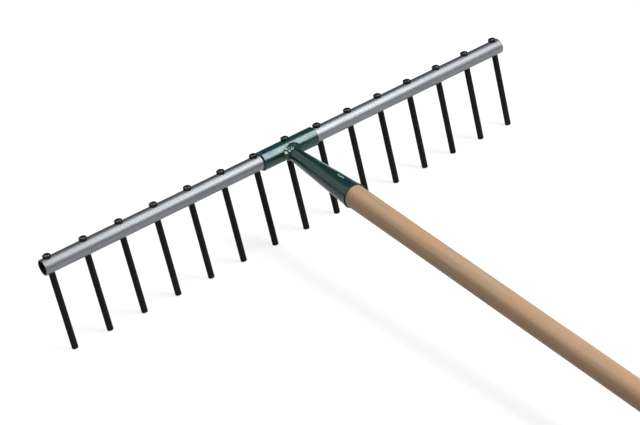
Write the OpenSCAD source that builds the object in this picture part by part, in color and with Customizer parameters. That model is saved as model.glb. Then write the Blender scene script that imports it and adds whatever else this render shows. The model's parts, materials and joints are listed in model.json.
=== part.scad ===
// Garden rake: an aluminium head tube with push-in tines, a steel collar with a
// tapering socket welded to it, and a wooden handle driven into the socket.
// X runs along the head tube and +Y points away from the handle. The rake lies
// on its tine tips and on the butt of its handle, on the plane Z = 0.

/* [Head tube] */
// Outer diameter of the head tube
tube_d = 20; // [16:0.5:26]
// Wall of the head tube
tube_wall = 1.5; // [1:0.1:2.5]
// Tube left beyond the axis of each outer tine
tube_overhang = 9; // [7:0.5:40]

/* [Tines] */
// Number of tines, odd so that one pins the collar
tine_count = 15; // [5:2:25]
// Distance between neighbouring tines
tine_pitch = 49; // [40:0.5:70]
// Diameter of a tine
tine_d = 8; // [5:0.1:9]
// Distance from the head tube's axis to the tine tips
tip_drop = 111; // [70:1:160]
// Rounding at the edge of a tip
tip_round = 1; // [0.3:0.1:2]
// Gap all round a tine in its drilled holes
tine_clear = 0.05; // [0.02:0.01:0.3]

/* [Tine heads] */
// Diameter of a tine's button head
head_d = 10.2; // [9.5:0.1:13]
// Height of the head's rim above the crown of the round that it seats on
head_rim = 2.9; // [0.8:0.1:4]
// Height of the dome on the rim
head_dome = 1.8; // [0.6:0.1:3]
// Rounding between the rim and the dome
head_round = 0.7; // [0.2:0.1:1.5]
// Gap under the head's saddle
seat_clear = 0.05; // [0.02:0.01:0.3]

/* [Collar] */
// Wall of the collar
collar_wall = 2.4; // [1.2:0.1:3]
// Gap between the collar and the head tube
collar_clear = 0.1; // [0.05:0.01:0.3]
// Distance from each end of the collar to the next tine's head
collar_end_gap = 2.4; // [0.5:0.1:8]

/* [Socket] */
// Angle that the handle leans to the tips, from square to the tines
set_angle = 15.3; // [8:0.1:20]
// Distance from the head tube's axis to the socket's mouth
socket_len = 133; // [90:1:180]
// Outer diameter of the mouth
mouth_d = 32.6; // [30:0.1:40]
// Outer diameter of the narrow end, at the collar
neck_d = 17.6; // [14:0.1:20]
// Wall of the rolled sheet
sheet = 1.5; // [1:0.1:2]
// How far the mouth's lip is belled out from the cone
lip_rise = 0.5; // [0.1:0.1:1.2]
// Length of the belled lip
lip_len = 8; // [3:1:12]
// Gap between the sheet's two edges along the top
seam_gap = 1; // [0.3:0.1:2]

/* [Pressed flats] */
// Depth of each flat at the collar
flat_depth = 1.2; // [0.4:0.1:1.6]
// Distance from the head tube's axis at which the flats run out
flat_end = 95; // [60:1:120]
// Angle between the seam and the middle of each flat
flat_spread = 30; // [20:1:45]

/* [Welds] */
// Width of the bead at the socket's two sides
weld_side = 4.5; // [2:0.1:6]
// Width of the bead on the collar, over the socket
weld_over = 3; // [0.8:0.1:5]
// Width of the bead on the collar, under the socket
weld_under = 1.4; // [0.8:0.1:2.4]
// Length of the bead along the socket, over and under it
weld_run = 6; // [2:0.1:8]
// Swell of the bead's face
weld_crown = 0.9; // [0.2:0.1:1.5]
// Number of ripples round the bead
weld_ripples = 24; // [8:1:32]
// Height of the ripples as a share of the swell
ripple_share = 0.35; // [0:0.05:0.6]
// Length of the tack that closes the seam
tack_len = 12.8; // [6:0.1:20]
// Width of the tack's round face
tack_d = 3.2; // [2.4:0.1:3.6]
// Distance from the mouth to the middle of the tack
tack_back = 25; // [14:1:40]

/* [Handle] */
// Diameter of the handle
handle_d = 28.4; // [24:0.1:30]
// How much the handle's radius grows towards the mouth
swell = 0.3; // [0.1:0.1:1]
// Distance from the mouth at which the swell starts
swell_len = 100; // [40:5:200]
// Length of the handle, with the nose that sits in the socket
handle_len = 1500; // [900:10:1800]
// Length of the tapered nose
nose_len = 85; // [50:1:90]
// Chamfer round the nose's end
nose_chamfer = 1.5; // [0.5:0.1:3]
// Gap between the nose's end and the socket
nose_clear = 0.25; // [0.1:0.05:0.6]
// Gap between the handle and the socket's wall at the mouth
mouth_clear = 0.3; // [0.1:0.05:1]
// Rounding at the edge of the butt
butt_round = 6; // [2:0.5:10]

/* [Hidden] */
$fn = 96;
green = [0.10, 0.27, 0.24];

// Radii
tube_r = tube_d / 2;
tine_r = tine_d / 2;
head_r = head_d / 2;
mouth_r = mouth_d / 2;
neck_r = neck_d / 2;
tack_r = tack_d / 2;
handle_r = handle_d / 2;
sleeve_r = tube_r + collar_clear;
collar_r = sleeve_r + collar_wall;

// How far cutters reach past what they cut, the gap under the weld bead and the
// least step that counts as a shoulder
over = 1;
weld_gap = 0.05;
least_step = 0.01;

// Steps of an arc and of a small rounded edge
arc_steps = 8;
edge_steps = 5;

// Lengths along the head tube and the collar
tube_len = (tine_count - 1) * tine_pitch + 2 * tube_overhang;
collar_len = 2 * (tine_pitch - head_r - collar_end_gap);

// Lengths along the handle, counted from the head tube's axis
nose_s = socket_len - nose_len;
handle_s = nose_s + handle_len;

// Shape of the socket's cone, of its lip and of the pressed flats
cone_rise = (mouth_r - lip_rise - neck_r) / (socket_len - collar_r);
lip_s = socket_len - lip_len;
flat_start_h = neck_r - flat_depth;
flat_rise = (cone_r(flat_end) - flat_start_h) / (flat_end - collar_r);

// Rest pose: the handle's slope and the tines' lean add up to set_angle, and
// both the tips and the butt touch the ground. Each step brings the slope closer
rest_steps = 12;
slope = rest_slope(0, rest_steps);
lean = set_angle - slope;
head_z = tip_height(lean);
head_y = (butt_reach(slope) - collar_r) / 2;

function tine_name(i) = str("tine_", i < 10 ? "0" : "", i);
function tine_x(i) = (i - (tine_count + 1) / 2) * tine_pitch;
function seat_r(i) = abs(tine_x(i)) < collar_len / 2 ? collar_r : tube_r;

// Outer radius of the cone, outer radius of the lip and height of a flat at the
// distance s from the tube's axis
function cone_r(s) = neck_r + (s - collar_r) * cone_rise;
function lip_r(s) = cone_r(s) + (s - lip_s) / lip_len * lip_rise;
function flat_h(s) = flat_start_h + (s - collar_r) * flat_rise;

// Radius of the socket's outside in the direction t, with its flats
function side_r(t, s, side) =
    let (c = cos(t - 90 - side * flat_spread))
    c > 0 ? min(cone_r(s), flat_h(s) / c) : cone_r(s);
function outside_r(t, s) = min(side_r(t, s, -1), side_r(t, s, 1));

// Height of the head tube's axis over the ground when the tines lean by a
function tip_height(a) =
    (tip_drop - tip_round) * cos(a) + (tine_r - tip_round) * sin(a) + tip_round;
function rest_slope(a, steps) =
    steps == 0 ? a : rest_slope(asin((tip_height(set_angle - a) - butt_round
        - (handle_r - butt_round) * cos(a)) / (handle_s - butt_round)), steps - 1);
function butt_reach(a) =
    (handle_s - butt_round) * cos(a) + (handle_r - butt_round) * sin(a) + butt_round;

// Points of an arc about c, from angle a to angle b
function arc(c, r, a, b, n = arc_steps) =
    [for (i = [0:n]) let (t = a + (b - a) * i / n) [c[0] + r * cos(t), c[1] + r * sin(t)]];

// Points without negative radii, which rounding can leave at an arc's end on the axis
function on_axis(points) = [for (p = points) [max(0, p[0]), p[1]]];

// Frame of the head: origin in the middle of the tube's axis, tines along -Z
module in_head() {
    translate([0, head_y, head_z])
        rotate([-lean, 0, 0])
            children();
}

// Frame of the handle: Z along the handle from the tube's axis, Y up, X as before
module in_handle() {
    in_head()
        rotate([90 + set_angle, 0, 0])
            children();
}

// Round bar along X about the tube's axis
module cross_bar(r, length) {
    rotate([0, 90, 0])
        cylinder(r = r, h = length, center = true);
}

// Drill for the tines that stand within the given distance from the middle
module tine_holes(reach) {
    for (i = [1:tine_count])
        if (abs(tine_x(i)) < reach)
            translate([tine_x(i), 0, 0])
                cylinder(r = tine_r + tine_clear, h = 2 * collar_r + 2 * over, center = true);
}

module head_tube() {
    color([0.79, 0.80, 0.83])
        in_head()
            difference() {
                cross_bar(tube_r, tube_len);
                cross_bar(tube_r - tube_wall, tube_len + 2 * over);
                tine_holes(tube_len);
            }
}

module collar() {
    color(green)
        in_head()
            difference() {
                cross_bar(collar_r, collar_len);
                cross_bar(sleeve_r, collar_len + 2 * over);
                tine_holes(collar_len / 2);
            }
}

// Straight shank with a rounded tip
module shank(top) {
    rotate_extrude()
        polygon(concat([[0, top], [0, -tip_drop]],
            arc([tine_r - tip_round, tip_round - tip_drop], tip_round, -90, 0, edge_steps),
            [[tine_r, top]]));
}

// Button head with a saddle that fits the round of radius seat. Its dome is part of a
// sphere, and a small arc that touches both joins it to the rim
module button(seat) {
    foot = sqrt(seat * seat - head_r * head_r);
    dome_r = (head_r * head_r + head_dome * head_dome) / (2 * head_dome);
    dome_z = seat + head_rim + head_dome - dome_r;
    round_x = head_r - head_round;
    round_h = sqrt(pow(dome_r - head_round, 2) - round_x * round_x);
    join = atan2(round_h, round_x);
    step = (90 - join) / arc_steps;
    difference() {
        rotate_extrude()
            polygon(on_axis(concat([[0, foot], [head_r, foot]],
                arc([round_x, dome_z + round_h], head_round, 0, join, edge_steps),
                arc([0, dome_z], dome_r, join + step, 90, arc_steps - 1))));
        cross_bar(seat + seat_clear, 3 * head_d);
    }
}

module tine(i) {
    color([0.07, 0.08, 0.08])
        in_head()
            translate([tine_x(i), 0, 0])
                union() {
                    shank(seat_r(i) + head_rim);
                    button(seat_r(i));
                }
}

// Half space outside one pressed flat; side is -1 on the right, 1 on the left
module flat_cut(side, shrink) {
    rotate([0, 0, 90 + side * flat_spread])
        translate([flat_start_h - shrink, 0, collar_r])
            rotate([0, atan(flat_rise), 0])
                translate([0, -mouth_d, -2 * collar_r])
                    cube([mouth_d, 2 * mouth_d, socket_len + 2 * collar_r]);
}

// Cone and belled lip, made smaller by shrink all round
module round_form(shrink, start, end) {
    rotate_extrude()
        polygon([[0, start], [cone_r(start) - shrink, start], [cone_r(lip_s) - shrink, lip_s],
            [lip_r(end) - shrink, end], [0, end]]);
}

// The same form with its two flats
module socket_form(shrink, start, end) {
    difference() {
        round_form(shrink, start, end);
        flat_cut(-1, shrink);
        flat_cut(1, shrink);
    }
}

// The sheet's full form, before its edges part at the seam
module socket_shell() {
    difference() {
        socket_form(0, 0, socket_len);
        socket_form(sheet, -over, socket_len + over);
    }
}

// Hole of the middle tine, in the handle's frame. It is drilled through the collar and
// through all else that would stand in its way
module pin_hole() {
    rotate([-90 - set_angle, 0, 0])
        cylinder(r = tine_r + tine_clear, h = 2 * tip_drop, center = true);
}

module socket() {
    color(green)
        in_handle()
            difference() {
                socket_shell();
                cross_bar(collar_r, collar_len);
                pin_hole();
                translate([-seam_gap / 2, 0, 0])
                    cube([seam_gap, mouth_d, socket_len + over]);
            }
}

// Width of the bead in the direction t, from its widths at the sides, over and under
function bead_width(t, side, above, below) =
    side * pow(cos(t), 2) + (sin(t) > 0 ? above : below) * pow(sin(t), 2);

// Point on the collar's round, by x and by the length u along the round, and point on
// the socket, both with the gap under the bead
function on_collar(x, u) =
    let (r = collar_r + weld_gap, a = u / r * 180 / PI)
    [x, r * sin(a), r * cos(a)];
function on_socket(t, s) =
    let (r = outside_r(t, s) + weld_gap)
    [r * cos(t), r * sin(t), s];

// Section of the bead in the direction t: root in the corner, foot on the collar,
// swelled face, foot on the socket
function bead_section(t) =
    let (
        out = [cos(t), sin(t), 0],
        root_r = outside_r(t, collar_r) + weld_gap,
        root_u = (collar_r + weld_gap) * asin(root_r * sin(t) / (collar_r + weld_gap)) * PI / 180,
        w = bead_width(t, weld_side, weld_over, weld_under),
        root = on_collar(root_r * cos(t), root_u),
        near = on_collar((root_r + w / 2) * cos(t), root_u + w / 2 * sin(t)),
        foot = on_collar((root_r + w) * cos(t), root_u + w * sin(t)),
        head = on_socket(t, root[2] + bead_width(t, weld_side, weld_run, weld_run)),
        span = head - foot,
        face = span[2] * out - (span * out) * [0, 0, 1],
        swell = weld_crown * (1 + ripple_share * cos(weld_ripples * t)) * face / norm(face)
    )
    concat([root, near, foot],
        [for (h = [0.25:0.25:0.75]) foot + h * span + swell * sin(180 * h)], [head]);

module weld_bead() {
    turns = 4 * weld_ripples;
    sections = [for (k = [0:turns - 1]) bead_section(360 * k / turns)];
    sides = len(sections[0]);
    points = [for (section = sections) for (p = section) p];
    faces = [for (k = [0:turns - 1]) for (j = [0:sides - 1])
        let (a = k * sides, b = (k + 1) % turns * sides, n = (j + 1) % sides)
        for (f = [[a + j, a + n, b + n], [a + j, b + n, b + j]]) f];
    polyhedron(points = points, faces = faces);
}

module socket_weld() {
    color(green)
        in_handle()
            difference() {
                weld_bead();
                pin_hole();
            }
}

// Round-ended bar that lies along the seam and reaches down through the sheet
module tack_bar() {
    tack_s = socket_len - tack_back;
    half = tack_len / 2;
    translate([0, cone_r(tack_s) - sheet + tack_r, tack_s])
        rotate([-atan(cone_rise), 0, 0])
            rotate_extrude()
                polygon(on_axis(concat(
                    arc([0, tack_r - half], tack_r, -90, 0, edge_steps),
                    arc([0, half - tack_r], tack_r, 0, 90, edge_steps))));
}

// The bar's part outside the sheet, and its root in the gap between the edges
module seam_tack() {
    color(green)
        in_handle() {
            difference() {
                tack_bar();
                round_form(-weld_gap, 0, socket_len + over);
            }
            intersection() {
                tack_bar();
                translate([weld_gap - seam_gap / 2, 0, 0])
                    cube([seam_gap - 2 * weld_gap, mouth_d, socket_len]);
            }
        }
}

// Turned handle: its nose tapers with the socket, and where the mouth is too narrow
// for the swelled round, a shoulder rests on the mouth's edge
module handle() {
    nose_r = min(cone_r(nose_s), flat_h(nose_s)) - sheet - nose_clear;
    swell_r = handle_r + swell;
    mouth_fit = min(swell_r, mouth_r - sheet - mouth_clear);
    lip_fit = min(mouth_fit, cone_r(lip_s) - sheet - mouth_clear);
    shoulder = mouth_fit < swell_r - least_step ? [[mouth_fit, socket_len]] : [];
    color([0.76, 0.61, 0.47])
        in_handle()
            rotate_extrude()
                polygon(concat([[0, nose_s], [nose_r - nose_chamfer, nose_s]],
                    [[nose_r, nose_s + nose_chamfer], [lip_fit, lip_s]], shoulder,
                    [[swell_r, socket_len], [handle_r, socket_len + swell_len]],
                    arc([handle_r - butt_round, handle_s - butt_round], butt_round, 0, 90),
                    [[0, handle_s]]));
}

head_tube();
collar();
socket();
socket_weld();
seam_tack();
handle();
for (i = [1:tine_count])
    tine(i);
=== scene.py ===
"""A garden rake: aluminium head tube, black plastic tines, painted steel collar and
socket, wooden handle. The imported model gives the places, this script gives the looks."""

import json
import math
import random

import bpy
from mathutils import Matrix, Vector


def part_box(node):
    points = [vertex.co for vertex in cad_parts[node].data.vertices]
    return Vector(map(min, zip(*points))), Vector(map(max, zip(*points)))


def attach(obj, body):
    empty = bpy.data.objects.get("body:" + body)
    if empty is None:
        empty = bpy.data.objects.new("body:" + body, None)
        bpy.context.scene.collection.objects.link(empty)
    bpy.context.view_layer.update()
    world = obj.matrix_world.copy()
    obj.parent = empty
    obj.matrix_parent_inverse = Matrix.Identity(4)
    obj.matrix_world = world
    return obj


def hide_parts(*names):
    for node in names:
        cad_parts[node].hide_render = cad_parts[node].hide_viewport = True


MM = 0.001

# Real sizes in millimetres. Lengths along the handle count from the head tube's axis

# Head tube: outer radius, wall, chamfer at its ends
TUBE_R = 10.0
TUBE_WALL = 1.5
TUBE_EDGE = 0.25

# Tines: drop of the tips below the tube's axis, gap round a tine in its holes
TINE_COUNT = 15
TINE_PITCH = 49.0
TINE_R = 4.0
TIP_DROP = 111.0
TIP_ROUND = 1.0
TINE_CLEAR = 0.05

# Their button heads: rim above the round that it seats on, dome on the rim, rounding
# between the two, gap under the saddle
BUTTON_R = 5.1
BUTTON_RIM = 2.9
BUTTON_DOME = 1.8
BUTTON_ROUND = 1.3
SEAT_CLEAR = 0.05

# Collar: inner and outer radius, chamfer at its ends
SLEEVE_R = 10.1
COLLAR_R = 12.5
COLLAR_LEN = 83.0
COLLAR_EDGE = 0.9

# Socket: lean of the handle to the tips from square, cone from neck to mouth, wall of its
# rolled sheet, lip that bells out by a power of the way along it, gap at the seam
SET_ANGLE = math.radians(15.3)
SOCKET_LEN = 133.0
MOUTH_R = 16.3
NECK_R = 8.8
SHEET = 1.5
LIP_RISE = 0.5
LIP_LEN = 8.0
LIP_POWER = 1.5
SEAM_GAP = 1.0

# Its pressed flats: depth at the collar, where they run out, angle from the seam to
# the middle of each, rounding of their creases, least cosine at which one is looked for
FLAT_DEPTH = 1.2
FLAT_END = 95.0
FLAT_SPREAD = math.radians(30)
FLAT_BLEND = 0.35
FLAT_COSINE = 0.2

# Weld bead: width on the collar at the sides, over and under the neck, length along
# the socket over and under it, swell of its face, depth of its edges in the steel
WELD_SIDE = 4.5
WELD_OVER = 3.0
WELD_UNDER = 1.4
WELD_RUN = 6.0
WELD_CROWN = 0.9
WELD_SINK = 0.3

# Where its toe runs wider over the collar: direction round the neck and spread in
# degrees, extra width, and how hollow the face is there, as a share
WELD_TOES = ((145, 35, 2.6, 0.5), (55, 38, 3.4, 0.45))

# Its lumps: how many, and the ranges of their level from collar to socket, of their
# radius and of their height
LUMP_SEED = 4
LUMP_COUNT = 40
LUMP_LEVELS = (0.2, 0.8)
LUMP_SIZES = (1.0, 2.2)
LUMP_RISES = (0.1, 0.35)

# Small flats that give bead and tack their bright spots. All face one way in the world,
# between the key lamp and the camera. Each on the bead has a direction round the neck in
# degrees, a level and a radius. It stands over the bead's face and fades out round itself
BEAD_FACING = (-0.03, -0.44, 0.90)
WELD_FLATS = ((133, 0.18, 2.1), (151, 0.45, 2.3), (130, 0.75, 1.9), (107, 0.88, 1.9))
WELD_FLAT_RISE = 0.5
WELD_FLAT_FADE = 0.7

# Tack on the seam: distance of its middle from the mouth, then its row of flats, their
# radius, depth in the round of the tack and fading
TACK_LEN = 12.8
TACK_R = 1.6
TACK_BACK = 25.0
TACK_FLATS = 6
TACK_FLAT_SIZE = 0.85
TACK_FLAT_DEPTH = 0.35
TACK_FLAT_FADE = 0.3

# Handle: swell towards the mouth and where it starts, nose in the socket and its gap,
# gap at the mouth, rounding at the butt
HANDLE_R = 14.2
HANDLE_LEN = 1500.0
SWELL = 0.3
SWELL_LEN = 100.0
NOSE_LEN = 85.0
NOSE_CHAMFER = 1.5
NOSE_CLEAR = 0.25
MOUTH_CLEAR = 0.3
BUTT_ROUND = 6.0

# How finely the shapes are divided
ROUND_SEGMENTS = 128
TINE_SEGMENTS = 64
EDGE_STEPS = 6
DOME_STEPS = 10
SOCKET_ROWS, SOCKET_COLUMNS = 60, 160
WELD_ROWS, WELD_COLUMNS = 300, 24
TACK_STEPS = 96
HANDLE_ROWS = 60
CREASE_ANGLE = math.radians(35)

# Colours in linear red, green and blue, and ranges of roughness
TUBE_DARK = (0.202, 0.212, 0.230)
TUBE_PALE = (0.236, 0.246, 0.264)
TUBE_LINES = (0.174, 0.184, 0.202)
# Near black for painted shade in the tube's bore, also laid on near its sawn ends
TUBE_SHADE_AND_ENDS = (0.05, 0.052, 0.055)
TUBE_ROUGH = (0.43, 0.51)
PAINT_DARK = (0.004, 0.024, 0.018)
PAINT_PALE = (0.008, 0.036, 0.028)
PAINT_BLUE = (0.004, 0.027, 0.042)
PAINT_TINT = (0.80, 0.97, 1.0)
PAINT_ROUGH = (0.20, 0.28)
TINE_DARK = (0.002, 0.003, 0.003)
TINE_PALE = (0.004, 0.005, 0.005)
TINE_DOME = (0.078, 0.082, 0.088)
TINE_ROUGH = (0.70, 0.85)
WOOD_DARK = (0.305, 0.205, 0.118)
WOOD_PALE = (0.40, 0.278, 0.172)
WOOD_RED = (0.43, 0.235, 0.130)
WOOD_FIBRES = (0.26, 0.155, 0.095)
WOOD_ROUGH = (0.45, 0.62)
FLOOR_GREY = 0.25
WORLD_GREY = 0.05

# Width in millimetres over which the tube turns near black: painted shade in its bore, and
# darkening at its sawn ends
SHADE_AND_END_WIDTH = 0.2

# Cosines to the head's Z axis between which a tine's surface turns into its polished dome
DOME_COSINES = (0.45, 0.60)

# How much smoother the tines' heads are than their matt shanks, as roughness, and the
# height in millimetres over which that sets in below the tube's top
HEAD_GLOSS = 0.52
HEAD_FADE = 2.0

# How much light the floor adds to what it reflects, where it is seen or mirrored
FLOOR_LIFT = 0.77

# Metres from the middle to the edges of the floor, and how far the camera sees
FLOOR_REACH = 30.0
VIEW_DEPTH = 100.0

# Camera, fitted to the photo
CAMERA_AT = (-1.04949, -0.84149, 1.29284)
CAMERA_AIM = (-0.05738, 0.62531, 0.10930)
CAMERA_ROLL = math.radians(6.588)
CAMERA_LENS = 102.645
SENSOR_WIDTH = 36.0

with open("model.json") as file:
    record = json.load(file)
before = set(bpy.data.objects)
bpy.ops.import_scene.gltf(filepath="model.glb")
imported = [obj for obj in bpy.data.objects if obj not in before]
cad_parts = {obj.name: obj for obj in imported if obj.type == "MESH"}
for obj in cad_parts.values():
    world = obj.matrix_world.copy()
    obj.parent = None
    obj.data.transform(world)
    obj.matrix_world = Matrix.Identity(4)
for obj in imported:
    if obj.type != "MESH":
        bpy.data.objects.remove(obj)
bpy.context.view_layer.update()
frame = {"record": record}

# The head's frame: origin in the middle of the tube's axis, tines along -Z. The
# handle's frame: Z along the handle from the tube's axis, Y up, X as before
tube_low, tube_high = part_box("head_tube")
grip = next(m for m in frame["record"]["mounts"] if m["name"] == "handle_grip")
slope = math.asin(-grip["axis"][2])
IN_HEAD = (Matrix.Translation((tube_low + tube_high) / 2)
           @ Matrix.Rotation(slope - SET_ANGLE, 4, "X"))
IN_HANDLE = IN_HEAD @ Matrix.Rotation(math.radians(90) + SET_ANGLE, 4, "X")
TUBE_LEN = (tube_high.x - tube_low.x) / MM


# Meshes

def piece(name, points, faces, place, material, nodes):
    """A mesh from points in millimetres in the frame place, which stands for the CAD
    nodes. As in the CAD, the object sits at the origin and its place is in its mesh."""
    mesh = bpy.data.meshes.new(name)
    mesh.from_pydata([place @ (Vector(p) * MM) for p in points], [], faces)
    mesh.validate()
    mesh.shade_smooth()
    mesh.set_sharp_from_angle(angle=CREASE_ANGLE)
    obj = bpy.data.objects.new(name, mesh)
    bpy.context.scene.collection.objects.link(obj)
    mesh.materials.append(material)
    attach(obj, "root")
    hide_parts(*nodes)
    return obj


def ring_faces(first, second, count, closed=True):
    """Quads between two rows of count points, given the numbers of their first points."""
    last = count if closed else count - 1
    return [(first + i, first + (i + 1) % count, second + (i + 1) % count, second + i)
            for i in range(last)]


def revolve(profile, segments, height=None):
    """Points and faces of a solid of revolution about Z. The profile is a list of
    (radius, z), counter-clockwise; it starts and ends on the axis or closes on itself.
    height, if given, moves a point: height(row, angle, radius, z) returns its new z."""
    points, rows = [], []
    for number, (r, z) in enumerate(profile):
        rows.append(len(points))
        if r == 0:
            points.append((0, 0, z))
            continue
        for i in range(segments):
            a = math.tau * i / segments
            level = height(number, a, r, z) if height else z
            points.append((r * math.cos(a), r * math.sin(a), level))
    faces = []
    on_axis = profile[0][0] == 0
    for number in range(len(profile) - 1 if on_axis else len(profile)):
        following = (number + 1) % len(profile)
        a, b = rows[number], rows[following]
        if profile[number][0] == 0:
            faces += [(a, b + (i + 1) % segments, b + i) for i in range(segments)]
        elif profile[following][0] == 0:
            faces += [(b, a + i, a + (i + 1) % segments) for i in range(segments)]
        else:
            faces += ring_faces(a, b, segments)
    return points, faces


def arc(centre, radius, start, end, steps):
    """Points of an arc, angles in degrees."""
    turns = [math.radians(start + (end - start) * i / steps) for i in range(steps + 1)]
    return [(centre[0] + radius * math.cos(a), centre[1] + radius * math.sin(a))
            for a in turns]


# Materials

def node(tree, kind, inputs=None, **settings):
    """A shader node; inputs holds constants or the sockets to link."""
    new = tree.nodes.new("ShaderNode" + kind)
    for key, value in settings.items():
        setattr(new, key, value)
    for key, value in (inputs or {}).items():
        if isinstance(value, bpy.types.NodeSocket):
            tree.links.new(value, new.inputs[key])
        else:
            new.inputs[key].default_value = value
    return new


def surface(name, **constants):
    """A material with a Principled shader whose sockets hold the given constants."""
    material = bpy.data.materials.new(name)
    material.use_nodes = True
    shader = material.node_tree.nodes["Principled BSDF"]
    for key, value in constants.items():
        shader.inputs[key.replace("_", " ")].default_value = value
    return material, material.node_tree, shader


def connect(tree, shader, **sockets):
    """Links outputs to the shader's sockets of the given names."""
    for key, value in sockets.items():
        tree.links.new(value, shader.inputs[key.replace("_", " ")])


def place_in(tree, place, spread=(1, 1, 1)):
    """Coordinates in the frame place, each times its part of spread."""
    inputs = {
        "Vector": node(tree, "TexCoord").outputs["Object"],
        "Location": place.translation,
        "Rotation": place.to_euler(),
        "Scale": [1 / share for share in spread]}
    return node(tree, "Mapping", inputs, vector_type="TEXTURE").outputs["Vector"]


def noise(tree, place, scale, detail, roughness, spread=(1, 1, 1), distortion=0.0):
    """Noise between 0 and 1, scale in waves per metre along each axis with a spread
    of 1. A smaller spread makes longer waves along its axis."""
    return node(tree, "TexNoise", {
        "Vector": place_in(tree, place, spread), "Scale": scale, "Detail": detail,
        "Roughness": roughness, "Distortion": distortion}).outputs["Fac"]


def remap(tree, value, low, high, start=0.0, end=1.0):
    """A value's way from low to high, clamped, as a number from start to end."""
    return node(tree, "MapRange", {
        "Value": value, "From Min": low, "From Max": high,
        "To Min": start, "To Max": end}).outputs["Result"]


def maths(tree, operation, *values):
    """Result of a Math node for one or two values."""
    return node(tree, "Math", dict(enumerate(values)), operation=operation).outputs[0]


def blend(tree, factor, a, b):
    """Mix of two colours. The Mix node's colours are its inputs 6 and 7 and output 2."""
    mix = node(tree, "Mix", {"Factor": factor}, data_type="RGBA")
    for socket, value in ((mix.inputs[6], a), (mix.inputs[7], b)):
        if isinstance(value, bpy.types.NodeSocket):
            tree.links.new(value, socket)
        else:
            socket.default_value = (*value, 1)
    return mix.outputs[2]


def bump(tree, height, distance, strength):
    """Normal for a height between 0 and 1 over a distance in millimetres."""
    return node(tree, "Bump", {"Height": height, "Distance": distance * MM,
                               "Strength": strength}).outputs["Normal"]


def aluminium():
    """Drawn tube with fine lines along it, with painted shade in its bore and darkened at
    its sawn ends.
    """
    material, tree, shader = surface("tube_aluminium", Metallic=1.0)
    lines = noise(tree, IN_HEAD, scale=900, detail=4, roughness=0.6, spread=(0.01, 1, 1))
    clouds = noise(tree, IN_HEAD, scale=28, detail=4, roughness=0.6, spread=(0.4, 1, 1))
    colour = blend(tree, remap(tree, clouds, 0.35, 0.65), TUBE_DARK, TUBE_PALE)
    colour = blend(tree, remap(tree, lines, 0.3, 0.75, end=0.25), colour, TUBE_LINES)
    where = node(tree, "SeparateXYZ", {"Vector": place_in(tree, IN_HEAD)}).outputs
    across = node(tree, "CombineXYZ", {"Y": where["Y"], "Z": where["Z"]})
    off_axis = node(tree, "VectorMath", {0: across.outputs["Vector"]}, operation="LENGTH")
    # The bore is painted near black as shade, and the sawn ends are darkened the same way
    bore_r = TUBE_R - TUBE_WALL
    bore = remap(tree, off_axis.outputs["Value"], (bore_r + SHADE_AND_END_WIDTH) * MM, bore_r * MM)
    end = remap(tree, maths(tree, "ABSOLUTE", where["X"]),
                (TUBE_LEN / 2 - SHADE_AND_END_WIDTH) * MM, TUBE_LEN / 2 * MM)
    colour = blend(tree, maths(tree, "MAXIMUM", bore, end), colour, TUBE_SHADE_AND_ENDS)
    connect(tree, shader, Base_Color=colour,
            Roughness=remap(tree, lines, 0.3, 0.7, *TUBE_ROUGH),
            Normal=bump(tree, lines, distance=0.02, strength=0.6))
    return material


def green_paint():
    """Glossy dark green paint that drifts to blue, with slight orange peel."""
    material, tree, shader = surface("green_paint", Specular_IOR_Level=0.5,
                                   Specular_Tint=(*PAINT_TINT, 1))
    clouds = noise(tree, IN_HANDLE, scale=60, detail=3, roughness=0.55)
    peel = noise(tree, IN_HANDLE, scale=700, detail=2, roughness=0.5)
    drift = noise(tree, IN_HANDLE, scale=24, detail=2, roughness=0.5)
    colour = blend(tree, remap(tree, clouds, 0.3, 0.7), PAINT_DARK, PAINT_PALE)
    colour = blend(tree, remap(tree, drift, 0.42, 0.58, end=0.8), colour, PAINT_BLUE)
    connect(tree, shader, Base_Color=colour,
            Roughness=remap(tree, clouds, 0.3, 0.7, *PAINT_ROUGH),
            Normal=bump(tree, peel, distance=0.03, strength=0.25))
    return material


def tine_plastic():
    """Matt black plastic with smoother heads. The polished domes count as metallic,
    which is how they mirror more than the shanks do."""
    material, tree, shader = surface("tine_plastic", Specular_IOR_Level=0.22)
    grain = noise(tree, IN_HEAD, scale=1500, detail=3, roughness=0.6)
    flow = noise(tree, IN_HEAD, scale=90, detail=3, roughness=0.55, spread=(1, 1, 0.15))
    colour = blend(tree, remap(tree, flow, 0.3, 0.7), TINE_DARK, TINE_PALE)
    normal = node(tree, "NewGeometry").outputs["Normal"]
    head_up = IN_HEAD.col[2].to_3d()
    facing = node(tree, "VectorMath", {0: normal, 1: head_up}, operation="DOT_PRODUCT")
    dome = remap(tree, facing.outputs["Value"], *DOME_COSINES)
    colour = blend(tree, dome, colour, TINE_DOME)
    where = node(tree, "SeparateXYZ", {"Vector": place_in(tree, IN_HEAD)}).outputs
    head = remap(tree, where["Z"], (TUBE_R - HEAD_FADE) * MM, TUBE_R * MM)
    matt = remap(tree, flow, 0.3, 0.7, *TINE_ROUGH)
    gloss = maths(tree, "MULTIPLY", head, HEAD_GLOSS)
    connect(tree, shader, Base_Color=colour, Metallic=dome,
            Roughness=maths(tree, "SUBTRACT", matt, gloss),
            Normal=bump(tree, grain, distance=0.02, strength=0.5))
    return material


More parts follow.
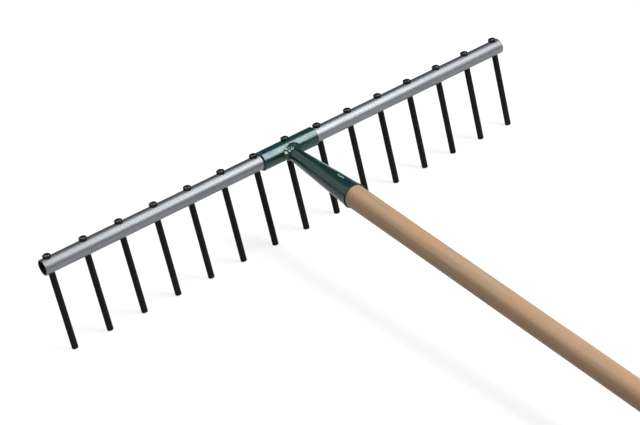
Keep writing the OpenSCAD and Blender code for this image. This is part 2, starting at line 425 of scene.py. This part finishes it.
def handle_wood():
    """Pale turned wood with rings, reddish patches and darker fibres along it."""
    material, tree, shader = surface("handle_wood", Specular_IOR_Level=0.3)
    fibres = noise(tree, IN_HANDLE, scale=1300, detail=5, roughness=0.65,
                   spread=(1, 1, 0.012))
    rings = noise(tree, IN_HANDLE, scale=170, detail=4, roughness=0.55,
                  spread=(1, 1, 0.03), distortion=0.6)
    patches = noise(tree, IN_HANDLE, scale=34, detail=3, roughness=0.5,
                    spread=(1, 1, 0.4))
    colour = blend(tree, remap(tree, rings, 0.32, 0.68), WOOD_DARK, WOOD_PALE)
    colour = blend(tree, remap(tree, patches, 0.42, 0.60, end=0.6), colour, WOOD_RED)
    colour = blend(tree, remap(tree, fibres, 0.5, 0.8, end=0.45), colour, WOOD_FIBRES)
    connect(tree, shader, Base_Color=colour,
            Roughness=remap(tree, fibres, 0.3, 0.8, *WOOD_ROUGH),
            Normal=bump(tree, fibres, distance=0.06, strength=0.6))
    return material


ALUMINIUM = aluminium()
GREEN = green_paint()
PLASTIC = tine_plastic()
WOOD = handle_wood()


# Head tube and collar, both along X

def tine_x(number):
    """Place along the tube of a tine, counted from 1."""
    return (number - (TINE_COUNT + 1) / 2) * TINE_PITCH


def pipe(outer, inner, length, edge):
    """Points and faces of a pipe along X with small chamfers."""
    half = length / 2
    profile = [(outer, edge - half), (outer, half - edge), (outer - edge, half),
               (inner + edge, half), (inner, half - edge), (inner, edge - half),
               (inner + edge, -half), (outer - edge, -half)]
    points, faces = revolve(profile, ROUND_SEGMENTS)
    return [(z, x, y) for x, y, z in points], faces


def drill(obj, reach):
    """Cuts the tines' holes within reach of the middle out of a finished piece."""
    radius = TINE_R + TINE_CLEAR
    half = 2 * COLLAR_R
    bar = [(0, -half), (radius, -half), (radius, half), (0, half)]
    bar_points, bar_faces = revolve(bar, TINE_SEGMENTS)
    points, faces = [], []
    for x in map(tine_x, range(1, TINE_COUNT + 1)):
        if abs(x) < reach:
            first = len(points)
            points += [(px + x, py, pz) for px, py, pz in bar_points]
            faces += [tuple(first + v for v in face) for face in bar_faces]
    mesh = bpy.data.meshes.new("drill")
    mesh.from_pydata([Vector(p) * MM for p in points], [], faces)
    cutter = bpy.data.objects.new("drill", mesh)
    bpy.context.scene.collection.objects.link(cutter)
    cutter.matrix_world = IN_HEAD
    cut = obj.modifiers.new("drill", "BOOLEAN")
    cut.operation = "DIFFERENCE"
    cut.solver = "EXACT"
    cut.object = cutter
    bpy.context.view_layer.update()
    evaluated = obj.evaluated_get(bpy.context.evaluated_depsgraph_get())
    drilled = bpy.data.meshes.new_from_object(evaluated)
    obj.modifiers.clear()
    obj.data = drilled
    drilled.shade_smooth()
    drilled.set_sharp_from_angle(angle=CREASE_ANGLE)
    bpy.data.objects.remove(cutter)


def head_tube():
    """Drawn tube, open at both ends, cross-drilled for all tines."""
    points, faces = pipe(TUBE_R, TUBE_R - TUBE_WALL, TUBE_LEN, TUBE_EDGE)
    tube = piece("rake_head_tube", points, faces, IN_HEAD, ALUMINIUM,
                 ["head_tube"])
    drill(tube, TUBE_LEN / 2)


def collar():
    """Short sleeve on the tube, drilled for the tine that pins it."""
    points, faces = pipe(COLLAR_R, SLEEVE_R, COLLAR_LEN, COLLAR_EDGE)
    ring = piece("rake_collar", points, faces, IN_HEAD, GREEN, ["collar"])
    drill(ring, COLLAR_LEN / 2)


head_tube()
collar()


# Tines

def tine(number):
    """One moulded tine: shank with rounded tip, button head with a saddle under it."""
    x = tine_x(number)
    seat = COLLAR_R if abs(x) < COLLAR_LEN / 2 else TUBE_R
    under = seat + SEAT_CLEAR
    tip = arc((TINE_R - TIP_ROUND, TIP_ROUND - TIP_DROP), TIP_ROUND, -90, 0, EDGE_STEPS)
    dome_r = (BUTTON_R ** 2 + BUTTON_DOME ** 2) / (2 * BUTTON_DOME)
    dome_z = seat + BUTTON_RIM + BUTTON_DOME - dome_r
    round_x = BUTTON_R - BUTTON_ROUND
    round_h = math.sqrt((dome_r - BUTTON_ROUND) ** 2 - round_x ** 2)
    join = math.degrees(math.atan2(round_h, round_x))
    rim = arc((round_x, dome_z + round_h), BUTTON_ROUND, 0, join, EDGE_STEPS)
    dome = arc((0, dome_z), dome_r, join, 90, DOME_STEPS)[1:-1] + [(0, dome_z + dome_r)]
    saddle = [(TINE_R, seat), (BUTTON_R, seat)]
    profile = [(0, -TIP_DROP), *tip, (TINE_R, 0), *saddle, *rim, *dome]

    def height(row, angle, r, z):
        if profile[row] in saddle:
            return math.sqrt(under ** 2 - (r * math.sin(angle)) ** 2)
        return z

    points, faces = revolve(profile, TINE_SEGMENTS, height)
    place = IN_HEAD @ Matrix.Translation((x * MM, 0, 0))
    name = "tine_%02d" % number
    piece("rake_" + name, points, faces, place, PLASTIC, [name])


for number in range(1, TINE_COUNT + 1):
    tine(number)


# Socket: rolled sheet in the handle's frame, its seam at the angle of +Y. A direction t
# is an angle round the handle, a distance s is a length along it

CONE_RISE = (MOUTH_R - LIP_RISE - NECK_R) / (SOCKET_LEN - COLLAR_R)
LIP_S = SOCKET_LEN - LIP_LEN
FLAT_START = NECK_R - FLAT_DEPTH
ALONG = Vector((0, 0, 1))


def cone_r(s):
    """Radius of the cone's outside at the distance s, without lip and flats."""
    return NECK_R + (s - COLLAR_R) * CONE_RISE


def flat_h(s):
    """Height of the pressed flats over the axis at the distance s."""
    rise = (cone_r(FLAT_END) - FLAT_START) / (FLAT_END - COLLAR_R)
    return FLAT_START + (s - COLLAR_R) * rise


def soft_min(a, b, width):
    """The lesser of two lengths, with a rounded corner of about the given width."""
    h = max(0.0, min(1.0, 0.5 + (b - a) / (2 * width)))
    return b + (a - b) * h - width * h * (1 - h)


def outside_r(t, s):
    """Radius of the socket's outside in the direction t at the distance s."""
    r = cone_r(s) + LIP_RISE * max(0, (s - LIP_S) / LIP_LEN) ** LIP_POWER
    for side in (-1, 1):
        c = math.cos(t - math.pi / 2 - side * FLAT_SPREAD)
        if c > FLAT_COSINE:
            r = soft_min(r, flat_h(s) / c, FLAT_BLEND)
    return r


def saddle_s(r, t):
    """Distance at which the direction t at the radius r meets the collar."""
    return math.sqrt(COLLAR_R ** 2 - (r * math.sin(t)) ** 2)


def socket():
    """The sheet's outside and inside, each a grid from the collar to the mouth and
    round from one edge of the seam to the other, joined at all four borders."""
    rows, columns = SOCKET_ROWS, SOCKET_COLUMNS
    points, faces = [], []
    for shrink in (0, SHEET):
        for j in range(rows + 1):
            for i in range(columns):
                t = math.pi / 2 + math.tau * i / (columns - 1)
                start = saddle_s(outside_r(t, COLLAR_R) - shrink, t)
                s = start + (SOCKET_LEN - start) * j / rows
                r = outside_r(t, s) - shrink
                part = math.asin(SEAM_GAP / 2 / r)
                t = math.pi / 2 + part + (math.tau - 2 * part) * i / (columns - 1)
                points.append((r * math.cos(t), r * math.sin(t), s))
    layer = (rows + 1) * columns
    for j in range(rows):
        a, b = j * columns, (j + 1) * columns
        quads = ring_faces(a, b, columns, closed=False)
        faces += quads
        faces += [tuple(layer + v for v in reversed(face)) for face in quads]
        for i in (0, columns - 1):
            edge = (a + i, b + i, layer + b + i, layer + a + i)
            faces.append(edge if i == 0 else tuple(reversed(edge)))
    end = rows * columns
    for i in range(columns - 1):
        faces.append((layer + i, layer + i + 1, i + 1, i))
        faces.append((end + i, end + i + 1, layer + end + i + 1, layer + end + i))
    piece("rake_socket", points, faces, IN_HANDLE, GREEN, ["socket"])


def bead_width(t, side, above, below):
    """Width of the bead in the direction t, from those at the side, above and below."""
    upright = above if math.sin(t) > 0 else below
    return side * math.cos(t) ** 2 + upright * math.sin(t) ** 2


def on_collar(x, u):
    """Point on the collar by x and by the length u round it from the handle's side."""
    turn = u / COLLAR_R
    return Vector((x, COLLAR_R * math.sin(turn), COLLAR_R * math.cos(turn)))


def flatten(points, centre, facing, size, fade):
    """Moves the points near the centre onto a round flat of the radius size that faces
    the given way, fading out over the length fade. Points further than twice the size
    from its plane lie on another side of the shape and stay."""
    for number, point in enumerate(points):
        offset = point - centre
        depth = offset.dot(facing)
        away = (offset - depth * facing).length
        if away < size + fade and abs(depth) < 2 * size:
            share = min(1.0, (size + fade - away) / fade)
            points[number] = point - share * depth * facing


def facing_in(place):
    """The way that the small flats face, in the frame place."""
    return (place.to_3x3().inverted() @ Vector(BEAD_FACING)).normalized()


def weld_row(t, lumps):
    """Section of the bead in the direction t: its face from the collar to the socket,
    with the lumps, then one point at its root inside the steel."""
    out = Vector((math.cos(t), math.sin(t), 0))
    root_r = outside_r(t, COLLAR_R)
    root_s = saddle_s(root_r, t)
    root_u = COLLAR_R * math.asin(root_r * math.sin(t) / COLLAR_R)
    toes = [(math.exp(-((math.degrees(t) - at) / spread) ** 2), extra, share)
            for at, spread, extra, share in WELD_TOES]
    width = (bead_width(t, WELD_SIDE, WELD_OVER, WELD_UNDER)
             + sum(near * extra for near, extra, share in toes))
    hollow = sum(near * share for near, extra, share in toes)
    foot = on_collar((root_r + width) * math.cos(t), root_u + width * math.sin(t))
    top_s = root_s + bead_width(t, WELD_SIDE, WELD_RUN, WELD_RUN)
    top = outside_r(t, top_s) * out + top_s * ALONG
    root = root_r * out + root_s * ALONG
    span = top - foot
    bend = 2 * hollow * (root - (foot + top) / 2)
    normal = (span.z * out - span.dot(out) * ALONG).normalized()
    row = []
    for n in range(WELD_COLUMNS):
        h = n / (WELD_COLUMNS - 1)
        swell = WELD_CROWN
        for angle, level, size, rise in lumps:
            gap = (t - angle + math.pi) % math.tau - math.pi
            away = math.hypot(gap * (root_r + width / 2), (h - level) * span.length)
            swell += rise * math.exp(-(away / size) ** 2)
        crown = math.sin(math.pi * h)
        sink = max(0, WELD_SINK * (1 - 2 * crown))
        row.append(foot + h * span + h * (1 - h) * bend + normal * (swell * crown - sink))
    row.append(root - WELD_SINK * (out + ALONG))
    return row


def weld():
    """The bead between socket and collar: rows round it, each a closed section."""
    rng = random.Random(LUMP_SEED)
    lumps = [(rng.uniform(0, math.tau), rng.uniform(*LUMP_LEVELS),
              rng.uniform(*LUMP_SIZES), rng.uniform(*LUMP_RISES))
             for _ in range(LUMP_COUNT)]
    points, faces = [], []
    for k in range(WELD_ROWS):
        points += weld_row(math.tau * k / WELD_ROWS, lumps)
    count = WELD_COLUMNS + 1
    facing = facing_in(IN_HANDLE)
    for angle, level, size in WELD_FLATS:
        nearest = (round(angle / 360 * WELD_ROWS) * count
                   + round(level * (WELD_COLUMNS - 1)))
        centre = points[nearest] + WELD_FLAT_RISE * facing
        flatten(points, centre, facing, size, WELD_FLAT_FADE)
    for k in range(WELD_ROWS):
        a, b = k * count, (k + 1) % WELD_ROWS * count
        faces += [(a + n, b + n, b + (n + 1) % count, a + (n + 1) % count)
                  for n in range(count)]
    piece("rake_socket_weld", points, faces, IN_HANDLE, GREEN,
          ["socket_weld"])


def tack():
    """Round-ended bar on the seam near the mouth, with a row of small flats on it."""
    s = SOCKET_LEN - TACK_BACK
    half = TACK_LEN / 2
    profile = []
    for k in range(TACK_STEPS + 1):
        z = TACK_LEN * k / TACK_STEPS - half
        past = max(0, abs(z) - (half - TACK_R)) / TACK_R
        profile.append((TACK_R * math.sqrt(max(0, 1 - past ** 2)), z))
    profile[0], profile[-1] = (0, -half), (0, half)
    points, faces = revolve(profile, TINE_SEGMENTS)
    points = [Vector(p) for p in points]
    middle = Vector((0, cone_r(s) - SHEET + TACK_R, s))
    place = (IN_HANDLE @ Matrix.Translation(middle * MM)
             @ Matrix.Rotation(-math.atan(CONE_RISE), 4, "X"))
    facing = facing_in(place)
    reach = half - TACK_R / 2
    for k in range(TACK_FLATS):
        z = -reach + 2 * reach * k / (TACK_FLATS - 1)
        centre = Vector((0, TACK_R - TACK_FLAT_DEPTH, z))
        flatten(points, centre, facing, TACK_FLAT_SIZE, TACK_FLAT_FADE)
    piece("rake_seam_tack", points, faces, place, GREEN, ["seam_tack"])


socket()
weld()
tack()


# Handle

def handle():
    """Turned handle: tapered nose in the socket, swell at the mouth, rounded butt."""
    nose_s = SOCKET_LEN - NOSE_LEN
    nose_r = min(cone_r(nose_s), flat_h(nose_s)) - SHEET - NOSE_CLEAR
    end_s = nose_s + HANDLE_LEN
    mouth_fit = min(HANDLE_R + SWELL, MOUTH_R - SHEET - MOUTH_CLEAR)
    lip_fit = min(mouth_fit, cone_r(LIP_S) - SHEET - MOUTH_CLEAR)
    straight = SOCKET_LEN + SWELL_LEN
    round_s = end_s - BUTT_ROUND
    profile = [(0, nose_s), (nose_r - NOSE_CHAMFER, nose_s),
               (nose_r, nose_s + NOSE_CHAMFER), (lip_fit, LIP_S), (mouth_fit, SOCKET_LEN)]
    profile += [(HANDLE_R, straight + (round_s - straight) * k / HANDLE_ROWS)
                for k in range(HANDLE_ROWS)]
    profile += arc((HANDLE_R - BUTT_ROUND, round_s), BUTT_ROUND, 0, 90, DOME_STEPS)
    profile += [(0, end_s)]
    points, faces = revolve(profile, ROUND_SEGMENTS)
    piece("rake_handle", points, faces, IN_HANDLE, WOOD, ["handle"])


handle()


# Stage: floor, lamps, world and camera

def floor():
    """Wide pale floor that shows as near white to the camera and in mirrors."""
    far = FLOOR_REACH
    mesh = bpy.data.meshes.new("floor")
    mesh.from_pydata([(-far, -far, 0), (far, -far, 0), (far, far, 0), (-far, far, 0)], [],
                     [(0, 1, 2, 3)])
    obj = bpy.data.objects.new("floor", mesh)
    bpy.context.scene.collection.objects.link(obj)
    material, tree, shader = surface(
        "floor", Base_Color=(FLOOR_GREY, FLOOR_GREY, FLOOR_GREY, 1), Roughness=0.9,
        Specular_IOR_Level=0.0, Emission_Color=(1, 1, 1, 1))
    rays = node(tree, "LightPath").outputs
    seen = maths(tree, "MAXIMUM", rays["Is Camera Ray"], rays["Is Glossy Ray"])
    seen = maths(tree, "MAXIMUM", seen, rays["Is Transmission Ray"])
    connect(tree, shader, Emission_Strength=maths(tree, "MULTIPLY", seen, FLOOR_LIFT))
    mesh.materials.append(material)


def lamp(name, at, aim, size, radiance, along=(0, 0, 1)):
    """A soft box at a point, turned to the aim, as bright as radiance times white. Its
    size is its width and its height, which runs along the given direction."""
    width, height = size
    light = bpy.data.lights.new(name, "AREA")
    light.shape = "RECTANGLE"
    light.size = width
    light.size_y = height
    light.energy = radiance * math.pi * width * height
    obj = bpy.data.objects.new(name, light)
    bpy.context.scene.collection.objects.link(obj)
    back = (Vector(at) - Vector(aim)).normalized()
    up = (Vector(along) - back.dot(Vector(along)) * back).normalized()
    turn = Matrix((up.cross(back), up, back)).transposed()
    obj.matrix_world = Matrix.Translation(at) @ turn.to_4x4()


def camera():
    """Camera at the photo's place, turned to its aim and rolled."""
    data = bpy.data.cameras.new("camera")
    data.lens = CAMERA_LENS
    data.sensor_width = SENSOR_WIDTH
    data.clip_end = VIEW_DEPTH
    obj = bpy.data.objects.new("camera", data)
    bpy.context.scene.collection.objects.link(obj)
    view = (Vector(CAMERA_AIM) - Vector(CAMERA_AT)).to_track_quat("-Z", "Y")
    obj.matrix_world = (Matrix.Translation(CAMERA_AT) @ view.to_matrix().to_4x4()
                        @ Matrix.Rotation(-CAMERA_ROLL, 4, "Z"))
    bpy.context.scene.camera = obj


floor()
camera()

# A long narrow box for the highlights along the pieces and two wide ones that fill in
lamp("key", at=(1.21, -0.35, 2.12), aim=(0, 0.767, 0.109), size=(0.38, 3.1), radiance=24,
     along=(0, 0.875, 0.485))
lamp("fill", at=(-0.75, 0.90, 2.55), aim=(0, 0.35, 0.10), size=(1.7, 1.7), radiance=4.0)
lamp("side", at=(-1.43, 2.40, 1.20), aim=(0, 0.60, 0.10), size=(2.6, 1.8), radiance=1.0)

world = bpy.data.worlds.new("studio")
bpy.context.scene.world = world
world.use_nodes = True
background = world.node_tree.nodes["Background"]
background.inputs["Color"].default_value = (WORLD_GREY, WORLD_GREY, WORLD_GREY, 1)

bpy.context.scene.view_settings.view_transform = "Standard"
